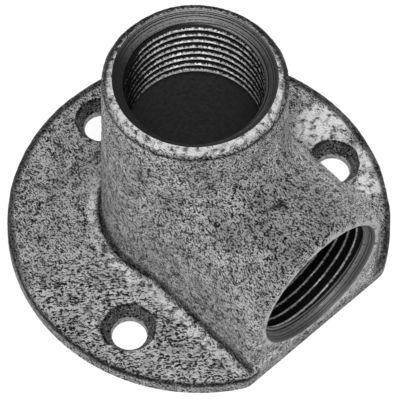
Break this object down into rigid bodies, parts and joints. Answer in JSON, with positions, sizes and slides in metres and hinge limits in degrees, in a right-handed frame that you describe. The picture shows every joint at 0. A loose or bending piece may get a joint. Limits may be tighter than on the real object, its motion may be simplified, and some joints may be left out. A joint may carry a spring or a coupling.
{
  "type": "wall elbow",
  "caption": "Cast pipe elbow on a round wall plate with screw holes: one threaded outlet stands off the wall, the other opens sideways along it.",
  "frame": {"origin": "centre of the wall plate's flat back face", "axes": "+Z away from the wall along the tower and its outlet, +X along the side outlet"},
  "size_m": [0.0684, 0.0728, 0.0472],
  "materials": {
    "casting": "as cast, dark and finely speckled, with machined mouths and threads"
  },
  "bodies": {
    "root": {"casting": "casting"}
  },
  "joints": []
}
